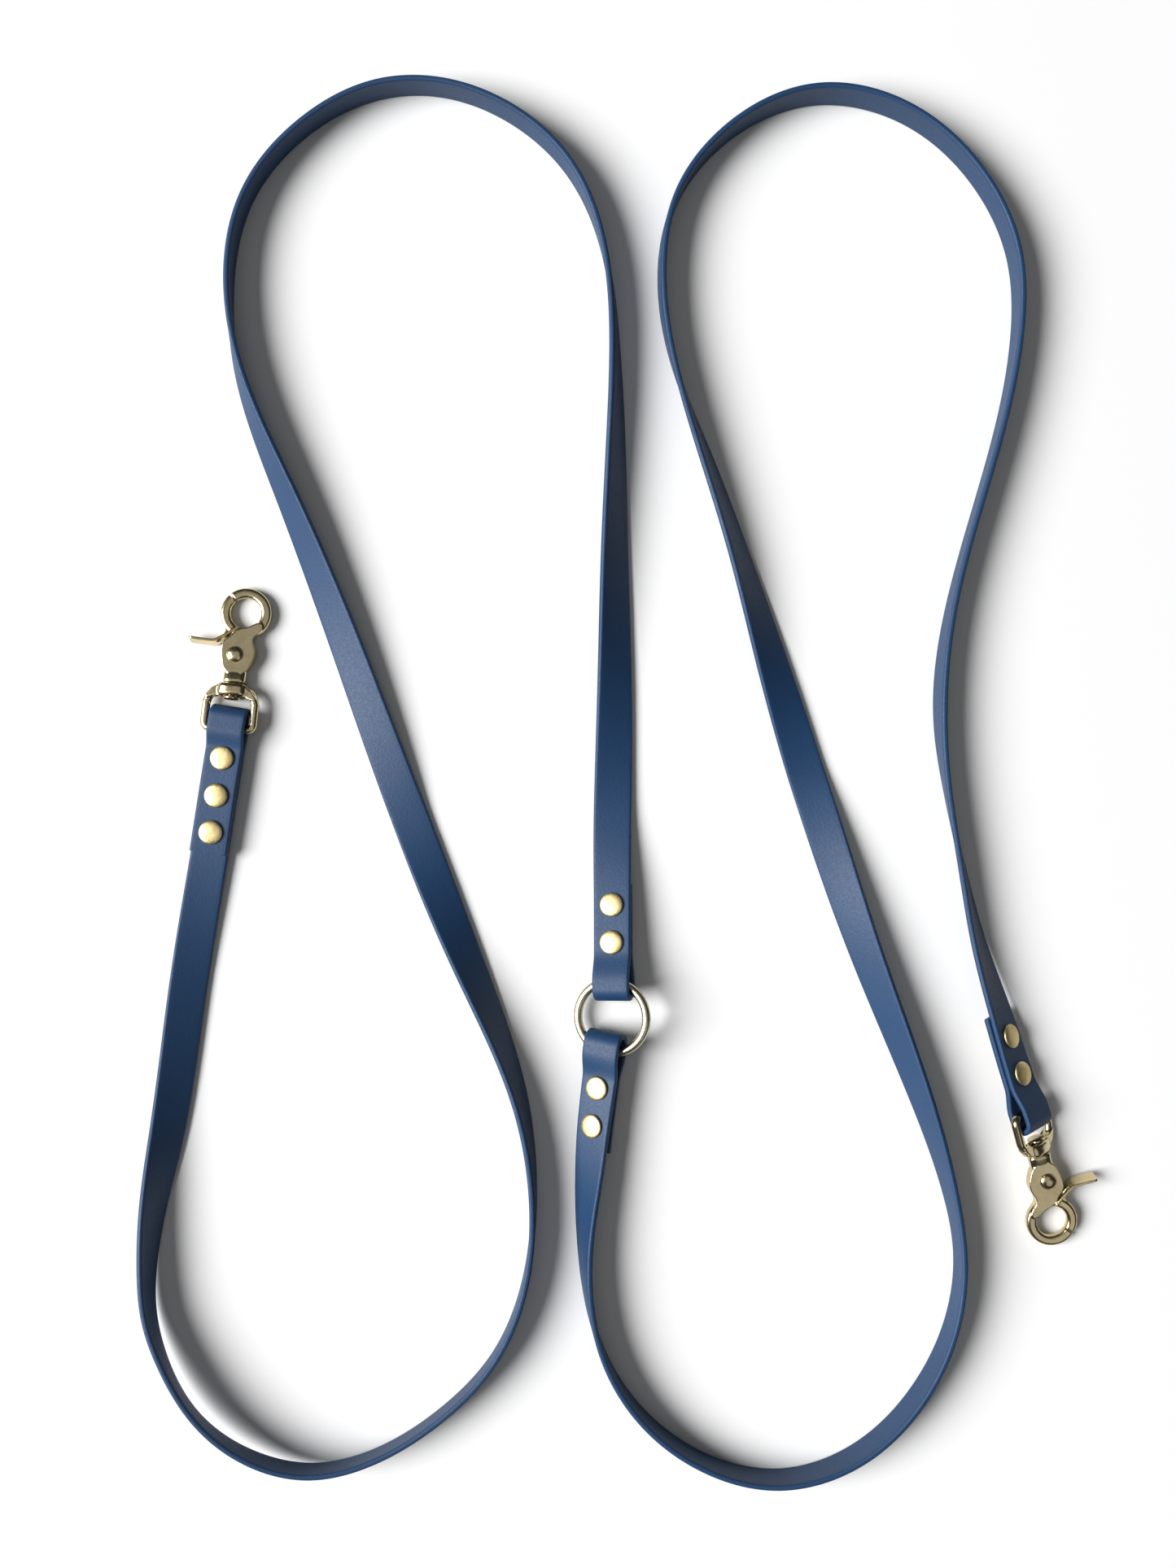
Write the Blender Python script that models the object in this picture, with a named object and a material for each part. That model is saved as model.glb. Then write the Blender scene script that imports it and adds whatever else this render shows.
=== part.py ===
"""Training leash: two riveted strap halves, a joining ring and two trigger snaps.

Metres, +Z up.  The leash lies on the plane z = 0 in a loose S.  Each strap half is one flat
strip whose ends are folded back round a metal bar and held by double-cap rivets.
"""
import math

import bmesh
import bpy
import numpy as np
from mathutils import Matrix, Vector

MM = 0.001

# ---- driving dimensions, in millimetres -------------------------------------------------
GAP = 0.3                 # running gap between pieces that touch
STRAP_W = 16.0            # strap width
STRAP_T = 2.5             # strap thickness
PLY_PITCH = STRAP_T + GAP # distance between the middles of two riveted plies
FLAT_EASE = 0.06          # softens the resting height where the strip lies flat
STATION_STEP = 10.0       # spacing of the cross-sections along a single ply
PLY_STEP = 3.2            # spacing of the cross-sections along a riveted end
FOLD_SEGMENTS = 8         # segments round a fold
JOIN_AHEAD = 5.6          # the plies close up this far before the first rivet
BAR_CLEAR = 2.0           # and start to close this far past the bar

CAP_R = 5.0               # rivet cap radius
CAP_H = 1.5               # rivet cap height
RIVET_POST_R = 1.15
SOCKET_IN_R = 1.45
SOCKET_OUT_R = 1.9
RIVET_HOLE_R = 2.25
RIVET_SEGMENTS = 14

RING_R = 15.05            # ring centre-line radius
RING_WIRE_R = 1.85
RING_TILT = 18.0          # degrees, +X side up
RING_SWING = -2.4         # degrees that the ring hangs off straight below strap A

BAR_R = 1.75              # swivel eye wire radius
EYE_HALF_W = 10.5         # swivel eye leg centre lines
EYE_CORNER_R = 2.6
BOSS_X0, BOSS_X1 = 13.9, 19.4
BOSS_HALF_T = 3.7
POST_R = 2.2
POST_HOLE_R = 2.55
BUTTON_R = 3.7

HOOK_HALF_T = 2.6         # hook plates, measured from the mid-plane
RIM_HALF_T = 2.95
SLOT_HALF_T = 1.6
LEVER_HALF_T = 1.25
PIVOT = (31.7, 0.0)       # gate pivot, in the snap's own plane
PIVOT_R = 1.3
PIVOT_HOLE_R = 1.6
PIVOT_HEAD_R = 3.4
HOOK_EYE = (49.7, -2.4)   # centre of the hook's round mouth
HOOK_EYE_R = 8.65         # mouth centre-line radius
JAW_R = 2.1
GATE_GAP_DEG = (43.0, 48.0)
TRIGGER_HALF_T = 0.55
TRIGGER_HALF_D = 3.0
HUB_Z, HUB_HALF_T = -0.82, 0.43
SPRING_R = 2.35
SPRING_WIRE_R = 0.25
SPRING_Z = (0.0, 1.0)     # the coil climbs from the first height to the second
SPRING_ARC_DEG = (28.4, 548.5)
SPRING_LEVER_LEG = (3.7, -1.9)
SPRING_HOOK_LEG = (-1.9, -3.2)

CENTRE = (-0.26, 0.21)    # moves the routes so that the origin is under the middle of it all

# ---- strap routes: x, y in mm, roll in degrees, lift above the resting height in mm -------
# The roll turns the strip about its own length; at 90 it stands on its edge.
ROUTE_A = [
    (-163.6, 32.2, -4, 1.3), (-169.7, -5.5, -3, 1.5), (-174.3, -34.0, 2, 1.4),
    (-182.0, -82.5, 20, 0), (-191.5, -151.0, 42, 0), (-196.5, -179.5, 63, 0),
    (-198.8, -205.3, 80, 0.7), (-197.4, -225.8, 90, 2.0), (-192.0, -242.2, 98, 3.6),
    (-177.1, -266.3, 103, 5.5), (-153.9, -283.4, 98, 5.0), (-128.5, -289.8, 95, 2.8),
    (-103.4, -284.6, 94, 0.9), (-75.0, -267.5, 92, 0), (-53.0, -244.5, 90, 0),
    (-39.5, -212.5, 88, 0), (-36.0, -176.5, 92, 0), (-41.5, -135.0, 106, 0),
    (-62.0, -80.5, 137, 0), (-90.5, -10.0, 182, 0), (-114.5, 56.0, 207, 0),
    (-141.5, 124.5, 233, 0), (-161.0, 177.5, 255, 0), (-164.5, 206.0, 265, 0),
    (-157.0, 247.0, 268, 0), (-133.0, 276.5, 268, 0), (-99.5, 293.0, 270, 0),
    (-75.0, 293.5, 270, 0), (-48.0, 284.0, 272, 0), (-21.0, 260.5, 273, 0),
    (-6.0, 225.5, 268, 0), (-1.5, 186.0, 260, 0), (-1.0, 145.5, 245, 0),
    (-1.5, 98.5, 228, 0), (-1.5, 38.5, 205, 0), (-2.0, 4.0, 189, 0.3),
    (-2.5, -23.5, 176, 1.6), (-2.5, -42.5, 168, 3.0), (-2.5, -60.0, 164, 4.7),
    (-2.5, -91.8, 162, 8.3),
]
ROUTE_B = [
    (-5.3, -104.75, -21, 6.2), (-8.5, -130.0, -29, 4.3), (-10.5, -146.0, -35, 3.2),
    (-12.0, -162.0, -44, 2.0), (-13.5, -180.5, -59.5, 0.7), (-14.0, -199.0, -73, 0),
    (-13.0, -214.5, -80, 0), (-6.0, -243.0, -87, 0), (9.0, -267.0, -90, 0),
    (33.5, -286.0, -91, 0), (67.0, -294.5, -92, 0), (101.0, -284.0, -95, 0),
    (126.0, -260.0, -96, 0), (141.5, -227.0, -93, 0), (144.5, -202.0, -92, 0),
    (140.5, -174.5, -98, 0), (127.5, -132.0, -116, 0), (105.5, -73.5, -139, 0),
    (84.5, -10.0, -172, 0), (66.0, 48.5, -209, 0), (50.5, 98.5, -237, 0),
    (36.5, 139.0, -250, 0), (24.0, 176.0, -266, 0), (18.5, 210.0, -273, 0),
    (25.0, 248.0, -272, 0), (44.5, 273.0, -269, 0), (83.0, 290.5, -266, 0),
    (123.5, 281.5, -268, 0), (151.5, 256.5, -269, 0), (167.0, 224.0, -269, 0),
    (168.5, 189.5, -270.5, 0), (154.0, 123.5, -272.5, 0), (140.0, 70.5, -270, 0),
    (136.0, 28.0, -267.5, 0), (139.0, -3.0, -277, 0), (145.0, -35.5, -285.5, 0),
    (152.3, -68.5, -299, 0.8), (160.5, -96.0, -312, 2.8), (168.5, -122.0, -320, 4.3),
    (176.0, -146.0, -321, 5.6),
]

# A folded end: which side of the main ply the tail lies on, how much of the fold's bulge the
# main ply takes, the fold's mid radius, and distances from the fold's outer end.
END_A_SNAP = {"side": 1, "main_share": 0.25, "fold_r": 3.6, "bar": 9.7,
              "rivets": (22.3, 38.3, 54.0), "tail": 63.0}
END_A_RING = {"side": 1, "main_share": 0.5, "fold_r": 4.2, "bar": 8.1,
              "rivets": (24.3, 40.0), "tail": 48.5}
END_B_RING = {"side": -1, "main_share": 0.5, "fold_r": 4.5, "bar": 8.8,
              "rivets": (24.2, 40.4), "tail": 51.0}
END_B_SNAP = {"side": -1, "main_share": 0.5, "fold_r": 3.8, "bar": 8.7,
              "rivets": (24.5, 40.8), "tail": 51.0}
# A snap's lie, in degrees: heading clockwise from +Y, slope down to the floor, and how far its
# swivel eye is turned back from the strap's own roll.
LIE_A = (5.6, 3.6, 0.0)
LIE_B = (163.8, 7.4, 0.0)

COLOURS = {
    "strap_navy": ((0.035, 0.065, 0.16), 0.55, 0.0),
    "rivet_brass": ((0.72, 0.62, 0.36), 0.35, 1.0),
    "ring_metal": ((0.66, 0.60, 0.44), 0.18, 1.0),
    "snap_metal": ((0.55, 0.49, 0.33), 0.22, 1.0),
    "gate_metal": ((0.60, 0.53, 0.36), 0.20, 1.0),
    "spring_steel": ((0.55, 0.56, 0.58), 0.30, 1.0),
}


# ---- small helpers --------------------------------------------------------------------------
def clear_scene():
    for obj in list(bpy.data.objects):
        bpy.data.objects.remove(obj, do_unlink=True)


def make_materials():
    made = {}
    for name, (colour, rough, metal) in COLOURS.items():
        mat = bpy.data.materials.new(name)
        mat.use_nodes = True
        shader = mat.node_tree.nodes["Principled BSDF"]
        shader.inputs["Base Color"].default_value = (*colour, 1.0)
        shader.inputs["Roughness"].default_value = rough
        shader.inputs["Metallic"].default_value = metal
        made[name] = mat
    return made


def add_object(name, bm, frame, material=None):
    """Turn a bmesh drawn in mm into an object in metres, placed by a frame given in mm."""
    bmesh.ops.recalc_face_normals(bm, faces=bm.faces)
    bmesh.ops.scale(bm, vec=(MM, MM, MM), verts=bm.verts)
    mesh = bpy.data.meshes.new(name)
    bm.to_mesh(mesh)
    bm.free()
    mesh.shade_smooth()
    mesh.set_sharp_from_angle(angle=math.radians(35))
    obj = bpy.data.objects.new(name, mesh)
    bpy.context.scene.collection.objects.link(obj)
    placed = frame.copy()
    placed.translation = frame.translation * MM
    obj.matrix_world = placed
    if material:
        mesh.materials.append(material)
    return obj


def boolean(target, cutter, operation):
    cutter.hide_render = True
    cutter.display_type = "WIRE"
    mod = target.modifiers.new(cutter.name, "BOOLEAN")
    mod.operation = operation
    mod.object = cutter
    mod.solver = "EXACT"


def frame_from(origin, x_axis, z_hint):
    """A right-handed frame with its X along x_axis and its Z as near z_hint as it can be."""
    x = Vector(x_axis).normalized()
    y = Vector(z_hint).cross(x).normalized()
    z = x.cross(y)
    frame = Matrix((x, y, z)).transposed().to_4x4()
    frame.translation = Vector(origin)
    return frame


def loft(rings, closed=False):
    """Skin a list of equal rings of points; an open run gets a cap at each end."""
    bm = bmesh.new()
    loops = [[bm.verts.new(p) for p in ring] for ring in rings]
    count = len(loops[0])
    spans = len(loops) if closed else len(loops) - 1
    for i in range(spans):
        a = loops[i]
        b = loops[(i + 1) % len(loops)]
        for j in range(count):
            k = (j + 1) % count
            bm.faces.new((a[j], a[k], b[k], b[j]))
    if not closed:
        bm.faces.new(loops[0])
        bm.faces.new(list(reversed(loops[-1])))
    return bm


def tube(path, radius, sides, closed=False):
    """A round tube along points in one plane or on a gentle coil."""
    points = [Vector(p) for p in path]
    count = len(points)
    rings = []
    for i, point in enumerate(points):
        before = points[i - 1] if closed or i else point
        after = points[(i + 1) % count] if closed or i < count - 1 else point
        along = (after - before).normalized()
        across = Vector((0, 0, 1)).cross(along).normalized()
        up = along.cross(across)
        rings.append([
            point + radius * (across * math.cos(a) + up * math.sin(a))
            for a in (2 * math.pi * (k + 0.5) / sides for k in range(sides))
        ])
    return loft(rings, closed)


def lathe(profile, segments):
    """Turn (radius, height) points about Z; the first and last lie on the axis."""
    bm = bmesh.new()
    rings = []
    for radius, height in profile:
        if radius == 0:
            rings.append([bm.verts.new((0, 0, height))])
            continue
        rings.append([
            bm.verts.new((radius * math.cos(a), radius * math.sin(a), height))
            for a in (2 * math.pi * k / segments for k in range(segments))
        ])
    for a, b in zip(rings, rings[1:]):
        for k in range(segments):
            n = (k + 1) % segments
            if len(a) == 1:
                bm.faces.new((a[0], b[n], b[k]))
            elif len(b) == 1:
                bm.faces.new((a[k], a[n], b[0]))
            else:
                bm.faces.new((a[k], a[n], b[n], b[k]))
    return bm


def prism(outline, half, bevel=0.0):
    """A flat plate: an (x, y) outline extruded from -half to +half, edges softened."""
    bm = loft([[(x, y, z) for x, y in outline] for z in (-half, half)])
    if bevel:
        rims = [e for e in bm.edges if abs(e.verts[0].co.z - e.verts[1].co.z) < 1e-6]
        bmesh.ops.bevel(bm, geom=rims, offset=bevel, segments=1, affect="EDGES")
    return bm


def circle(centre, radius, count, start=0.0, stop=360.0, endpoint=False):
    """Points on an arc in the XY plane, angles in degrees from +X."""
    steps = count - 1 if endpoint else count
    angles = (math.radians(start + (stop - start) * k / steps) for k in range(count))
    return [(centre[0] + radius * math.cos(a), centre[1] + radius * math.sin(a))
            for a in angles]


def cylinder_x(x0, x1, radius, sides):
    ring = circle((0, 0), radius, sides)
    return loft([[(x, y, z) for y, z in ring] for x in (x0, x1)])


# ---- the strap's route ----------------------------------------------------------------------
class Route:
    """A smooth curve through the route's points, with the strip's roll along it."""

    def __init__(self, points):
        self.values = np.array(points, dtype=float)
        self.values[:, :2] += CENTRE
        steps = np.hypot(*np.diff(self.values[:, :2], axis=0).T)
        self.knots = np.concatenate([[0.0], np.cumsum(steps)])
        self.bend = self._second_derivatives()
        self.length = float(self.knots[-1])

    def _second_derivatives(self):
        gaps = np.diff(self.knots)
        size = len(self.knots)
        matrix = np.eye(size)
        right = np.zeros((size, self.values.shape[1]))
        slopes = np.diff(self.values, axis=0) / gaps[:, None]
        for i in range(1, size - 1):
            matrix[i, i - 1:i + 2] = gaps[i - 1], 2 * (gaps[i - 1] + gaps[i]), gaps[i]
            right[i] = 6 * (slopes[i] - slopes[i - 1])
        return np.linalg.solve(matrix, right)

    def at(self, s):
        """Centre point and roll in degrees, s mm from the first fold."""
        x, y, roll, lift = self._spline(s)
        turn = math.radians(roll)
        edge = math.hypot(math.sin(turn), FLAT_EASE)
        height = STRAP_W / 2 * edge + STRAP_T / 2 * abs(math.cos(turn)) + max(lift, 0.0)
        return Vector((x, y, height)), roll

    def _spline(self, s):
        s = min(max(s, 0.0), self.length)
        i = min(int(np.searchsorted(self.knots, s, side="right")) - 1, len(self.knots) - 2)
        gap = self.knots[i + 1] - self.knots[i]
        b = (s - self.knots[i]) / gap
        a = 1 - b
        curve = ((a ** 3 - a) * self.bend[i] + (b ** 3 - b) * self.bend[i + 1]) * gap ** 2 / 6
        return a * self.values[i] + b * self.values[i + 1] + curve

    def frame(self, s):
        """Point, direction of travel, width direction and face normal at distance s."""
        here, roll = self.at(s)
        along = (self.at(s + 1.0)[0] - self.at(s - 1.0)[0]).normalized()
        level = Vector((along.y, -along.x, 0)).normalized()
        turn = math.radians(roll)
        width = level * math.cos(turn) + Vector((0, 0, math.sin(turn)))
        width = (width - along * width.dot(along)).normalized()
        return here, along, width, width.cross(along)


def smooth(t):
    t = min(max(t, 0.0), 1.0)
    return t * t * (3 - 2 * t)


def ply_offsets(end, u):
    """Offsets of the main ply and of the tail along the face normal, u mm from the fold."""
    centre = STRAP_T / 2 + end["fold_r"]
    join = end["rivets"][0] - JOIN_AHEAD
    parted = max(centre, end["bar"] + BAR_CLEAR)
    spread = (2 * end["fold_r"] - PLY_PITCH) * (1 - smooth((u - parted) / (join - parted)))
    main = -end["side"] * end["main_share"] * spread
    tail = end["side"] * (PLY_PITCH + (1 - end["main_share"]) * spread)
    return main, tail


def end_path(end):
    """(u, v) points from the tail's cut end, round the fold and out along the main ply."""
    centre = STRAP_T / 2 + end["fold_r"]
    steps = math.ceil((end["tail"] - centre) / PLY_STEP)
    run = [centre + (end["tail"] - centre) * (1 - k / steps) for k in range(steps + 1)]
    path = [(u, ply_offsets(end, u)[1]) for u in run]
    middle = sum(ply_offsets(end, centre)) / 2
    for k in range(1, FOLD_SEGMENTS):
        a = math.pi * k / FOLD_SEGMENTS
        path.append((centre - end["fold_r"] * math.sin(a),
                     middle + end["side"] * end["fold_r"] * math.cos(a)))
    path += [(u, ply_offsets(end, u)[0]) for u in reversed(run)]
    return path


def strap_stations(route, first, last):
    """Centre points and width directions all along the strip, tail end to tail end."""
    stations = []

    def place(s, v):
        point, _, width, normal = route.frame(s)
        stations.append((point + normal * v, width))

    for u, v in end_path(first):
        place(u, v)
    start, stop = first["tail"], route.length - last["tail"]
    count = round((stop - start) / STATION_STEP)
    for k in range(1, count):
        place(start + (stop - start) * k / count, 0.0)
    for u, v in reversed(end_path(last)):
        place(route.length - u, v)
    return stations


def strap_mesh(stations, origin):
    rings = []
    for i, (point, width) in enumerate(stations):
        before = stations[max(i - 1, 0)][0]
        after = stations[min(i + 1, len(stations) - 1)][0]
        along = (after - before).normalized()
        side = (width - along * width.dot(along)).normalized() * STRAP_W / 2
        face = side.cross(along).normalized() * STRAP_T / 2
        centre = point - origin
        rings.append([centre + side + face, centre - side + face,
                      centre - side - face, centre + side - face])
    return loft(rings)


def rivet_frames(route, end, from_start):
    """Frames at the rivets: origin midway through both plies, Z out of the visible face."""
    frames = []
    for u in end["rivets"]:
        s = u if from_start else route.length - u
        point, along, _, normal = route.frame(s)
        middle = point + normal * end["side"] * PLY_PITCH / 2
        outward = normal if normal.z > 0 else -normal
        frames.append(frame_from(middle, along, outward))
    return frames


def bar_frame(route, end, from_start):
    """Frame of the bar that the strap folds round: X out of the strap, Z out of its face."""
    s = end["bar"] if from_start else route.length - end["bar"]
    point, along, _, normal = route.frame(s)
    middle = point + normal * sum(ply_offsets(end, end["bar"])) / 2
    outward = -along if from_start else along
    return frame_from(middle, outward, normal if normal.z > 0 else -normal)


# ---- rivets ---------------------------------------------------------------------------------
def cap_profile(face, top):
    """Domed cap from its crown on the axis down to the edge of its flat underside."""
    height = top - face
    return [(0, top), (CAP_R * 0.45, face + height * 0.93), (CAP_R * 0.8, face + height * 0.66),
            (CAP_R * 0.97, face + height * 0.28), (CAP_R * 0.98, face)]


def rivet_cap_mesh():
    """Upper cap with its post, which reaches down into the lower cap's socket."""
    face = PLY_PITCH / 2 + STRAP_T / 2 + GAP
    profile = cap_profile(face, face + CAP_H)
    profile += [(RIVET_POST_R, face), (RIVET_POST_R, -face + 0.4), (0, -face + 0.4)]
    return lathe(profile, RIVET_SEGMENTS)


def rivet_base_mesh():
    """Lower cap with the hollow socket that goes through both plies."""
    face = PLY_PITCH / 2 + STRAP_T / 2 + GAP
    profile = cap_profile(face, face + CAP_H)
    profile += [(SOCKET_OUT_R, face), (SOCKET_OUT_R, -face + GAP),
                (SOCKET_IN_R, -face + GAP), (SOCKET_IN_R, face + 0.1), (0, face + 0.1)]
    return lathe([(r, -z) for r, z in profile], RIVET_SEGMENTS)


def make_rivets(label, frames, strap, materials):
    for i, frame in enumerate(frames, 1):
        add_object(f"rivet_cap_{label}_{i}", rivet_cap_mesh(), frame, materials["rivet_brass"])
        add_object(f"rivet_base_{label}_{i}", rivet_base_mesh(), frame, materials["rivet_brass"])
        hole = lathe([(0, -5), (RIVET_HOLE_R, -5), (RIVET_HOLE_R, 5), (0, 5)], 12)
        boolean(strap, add_object(f"rivet_hole_{label}_{i}", hole, frame), "DIFFERENCE")


# ---- ring -----------------------------------------------------------------------------------
def make_ring(frame, materials):
    path = [(x, y, 0) for x, y in circle((0, 0), RING_R, 36)]
    return add_object("o_ring", tube(path, RING_WIRE_R, 10, closed=True), frame,
                      materials["ring_metal"])


# ---- trigger snap ---------------------------------------------------------------------------
def eye_path():
    """Wire of the swivel eye: shoulder, leg, corner, cross bar, and the same back."""
    corner = circle((EYE_CORNER_R, EYE_HALF_W - EYE_CORNER_R), EYE_CORNER_R, 5, 90, 180, True)
    half = [(16.6, 5.0), (16.0, 7.6), (13.8, 9.4), (10.8, EYE_HALF_W)] + corner
    half.append((0.0, 2.6))
    return [(x, y, 0) for x, y in half] + [(x, -y, 0) for x, y in reversed(half)]


def make_swivel_eye(label, frame, materials):
    eye = add_object(f"swivel_eye_{label}", tube(eye_path(), BAR_R, 10), frame,
                     materials["snap_metal"])
    outline = [(BOSS_X0, -5.2), (14.6, -7.2), (17.0, -8.0), (BOSS_X1, -6.4),
               (BOSS_X1, 6.4), (17.0, 8.0), (14.6, 7.2), (BOSS_X0, 5.2)]
    boss = add_object(f"boss_{label}", prism(outline, BOSS_HALF_T, 0.9), frame)
    boolean(eye, boss, "UNION")
    hole = cylinder_x(BOSS_X0 - 2, BOSS_X1 + 2, POST_HOLE_R, 16)
    boolean(eye, add_object(f"post_hole_{label}", hole, frame), "DIFFERENCE")


def hook_plate_outline():
    return [(23.9, 4.5), (28.5, 5.8), (32.5, 6.3), (35.4, 6.1), (42.3, -0.4), (42.9, -3.5),
            (44.3, -6.5), (45.0, -9.6), (41.0, -7.7), (38.9, -6.6), (36.0, -7.2),
            (32.0, -8.3), (29.3, -7.8), (26.5, -6.3), (23.9, -4.7)]


def hook_rim_outline():
    return [(23.5, -3.0), (27.3, -4.7), (31.7, -6.2), (36.0, -5.4), (39.0, -4.9),
            (42.4, -6.0), (44.6, -9.0), (41.2, -8.0), (38.9, -6.9), (36.0, -7.5),
            (32.0, -8.6), (29.1, -8.1), (26.3, -6.6), (23.5, -5.0)]


def post_profile():
    """Swivel post turned about the snap's long axis, from its button to inside the neck."""
    return [(0, 12.1), (BUTTON_R * 0.75, 12.2), (BUTTON_R, 12.9), (BUTTON_R, 13.6),
            (POST_R, 13.6), (POST_R, 21.5), (0, 21.5)]


def neck_mesh():
    """Round collar between the swivel eye and the plates, flattened top and bottom."""
    stations = ((BOSS_X1 + GAP, 4.3, 3.1), (20.5, 4.7, 3.4), (22.6, 4.6, 3.2), (25.8, 4.2, 2.2))
    rings = []
    for x, half_y, half_z in stations:
        rings.append([(x, half_y * math.cos(a), half_z * math.sin(a))
                      for a in (2 * math.pi * k / 16 for k in range(16))])
    return loft(rings)


def make_hook(label, frame, materials):
    hook = add_object(f"hook_body_{label}", prism(hook_plate_outline(), HOOK_HALF_T, 0.35),
                      frame, materials["snap_metal"])
    rim = add_object(f"rim_{label}", prism(hook_rim_outline(), RIM_HALF_T, 0.4), frame)
    boolean(hook, rim, "UNION")
    arc = circle(HOOK_EYE, HOOK_EYE_R, 20, -193, GATE_GAP_DEG[0], True)
    jaw = add_object(f"jaw_{label}", tube([(x, y, 0) for x, y in arc], JAW_R, 10), frame)
    boolean(hook, jaw, "UNION")
    boolean(hook, add_object(f"neck_{label}", neck_mesh(), frame), "UNION")
    turn = frame @ Matrix.Rotation(math.radians(90), 4, "Y")
    post = add_object(f"post_{label}", lathe(post_profile(), 16), turn)
    boolean(hook, post, "UNION")
    slot = [(27.0, 12.0), (27.0, -4.0), (36.0, -4.0), (39.5, 0.1), (43.4, 0.1), (46.0, 12.0)]
    boolean(hook, add_object(f"slot_{label}", prism(slot, SLOT_HALF_T), frame), "DIFFERENCE")
    hole = prism(circle(PIVOT, PIVOT_HOLE_R, 16), 5.0)
    boolean(hook, add_object(f"pivot_hole_{label}", hole, frame), "DIFFERENCE")


def trigger_outline():
    """Thumb blade: along the plate's sloping edge, then straight out to the side."""
    spine = [(42.9, 0.7), (39.7, 3.9), (37.0, 6.9), (36.3, 9.3), (36.2, 13.0), (36.5, 16.6),
             (37.1, 20.0)]
    near, far = [], []
    for i, (x, y) in enumerate(spine):
        ahead = spine[min(i + 1, len(spine) - 1)]
        behind = spine[max(i - 1, 0)]
        along = Vector((ahead[0] - behind[0], ahead[1] - behind[1])).normalized()
        near.append((x - along.y * TRIGGER_HALF_T, y + along.x * TRIGGER_HALF_T))
        far.append((x + along.y * TRIGGER_HALF_T, y - along.x * TRIGGER_HALF_T))
    return near + list(reversed(far))


def make_gate(label, frame, materials):
    """Moving jaw, lever and thumb blade in one piece, with its origin on the pivot."""
    here = frame @ Matrix.Translation((PIVOT[0], PIVOT[1], 0))

    def shift(points):
        return [(x - PIVOT[0], y - PIVOT[1]) for x, y in points]

    arc = shift(circle(HOOK_EYE, HOOK_EYE_R, 9, GATE_GAP_DEG[1], 143, True))
    gate = add_object(f"gate_{label}", tube([(x, y, 0) for x, y in arc], JAW_R, 10), here,
                      materials["gate_metal"])
    blade = prism(shift(trigger_outline()), TRIGGER_HALF_D)
    boolean(gate, add_object(f"blade_{label}", blade, here), "UNION")
    arm = [(36.4, -2.4), (40.6, 1.0), (43.6, 1.4), (44.4, 4.0), (41.2, 4.6), (38.4, 5.2),
           (36.0, 3.6), (35.4, 0.6)]
    boolean(gate, add_object(f"arm_{label}", prism(shift(arm), LEVER_HALF_T), here), "UNION")
    hub = prism(circle((0, 0), 3.4, 18), HUB_HALF_T)
    bmesh.ops.translate(hub, vec=(0, 0, HUB_Z), verts=hub.verts)
    boolean(gate, add_object(f"hub_{label}", hub, here), "UNION")
    link = prism([(1.5, -2.6), (5.4, -1.6), (5.4, 1.2), (1.5, 2.6)], HUB_HALF_T - 0.03)
    bmesh.ops.translate(link, vec=(0, 0, HUB_Z), verts=link.verts)
    boolean(gate, add_object(f"link_{label}", link, here), "UNION")
    hole = prism(circle((0, 0), PIVOT_HOLE_R, 16), 5.0)
    boolean(gate, add_object(f"gate_hole_{label}", hole, here), "DIFFERENCE")


def make_pivot(label, frame, materials):
    """Domed rivet through both plates and the gate, flush at the back."""
    top = HOOK_HALF_T + GAP
    profile = [(0, top + 1.5), (PIVOT_HEAD_R * 0.5, top + 1.33), (PIVOT_HEAD_R * 0.85, top + 0.8),
               (PIVOT_HEAD_R, top + 0.15), (PIVOT_HEAD_R, top), (PIVOT_R, top),
               (PIVOT_R, -HOOK_HALF_T), (0, -HOOK_HALF_T)]
    here = frame @ Matrix.Translation((PIVOT[0], PIVOT[1], 0))
    add_object(f"pivot_rivet_{label}", lathe(profile, 16), here, materials["snap_metal"])


def spring_path():
    """Coil round the pivot with a straight leg leaving it tangentially at each end."""
    path = [(*SPRING_LEVER_LEG, SPRING_Z[0])]
    steps = 18
    for k in range(steps + 1):
        part = k / steps
        a = math.radians(SPRING_ARC_DEG[0] + (SPRING_ARC_DEG[1] - SPRING_ARC_DEG[0]) * part)
        path.append((SPRING_R * math.cos(a), SPRING_R * math.sin(a),
                     SPRING_Z[0] + (SPRING_Z[1] - SPRING_Z[0]) * part))
    path.append((*SPRING_HOOK_LEG, SPRING_Z[1]))
    return path


def make_spring(label, frame, materials):
    """Torsion spring round the pivot: one leg on the lever, one on the hook's closed side."""
    here = frame @ Matrix.Translation((PIVOT[0], PIVOT[1], 0.0))
    add_object(f"gate_spring_{label}", tube(spring_path(), SPRING_WIRE_R, 6), here,
               materials["spring_steel"])


def snap_frames(bar, lie):
    """Frames of the swivel eye, which follows its strap's roll, and of the level hook."""
    heading, slope, back = (math.radians(angle) for angle in lie)
    axis = Vector((math.sin(heading), math.cos(heading), 0)) * math.cos(slope)
    axis.z = -math.sin(slope)
    eye = frame_from(bar.translation, axis, bar.col[2].to_3d())
    return (eye @ Matrix.Rotation(back, 4, "X"), frame_from(bar.translation, axis, (0, 0, 1)))


def make_snap(label, bar, lie, materials):
    eye_frame, hook_frame = snap_frames(bar, lie)
    make_swivel_eye(label, eye_frame, materials)
    make_hook(label, hook_frame, materials)
    make_gate(label, hook_frame, materials)
    make_pivot(label, hook_frame, materials)
    make_spring(label, hook_frame, materials)


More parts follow.
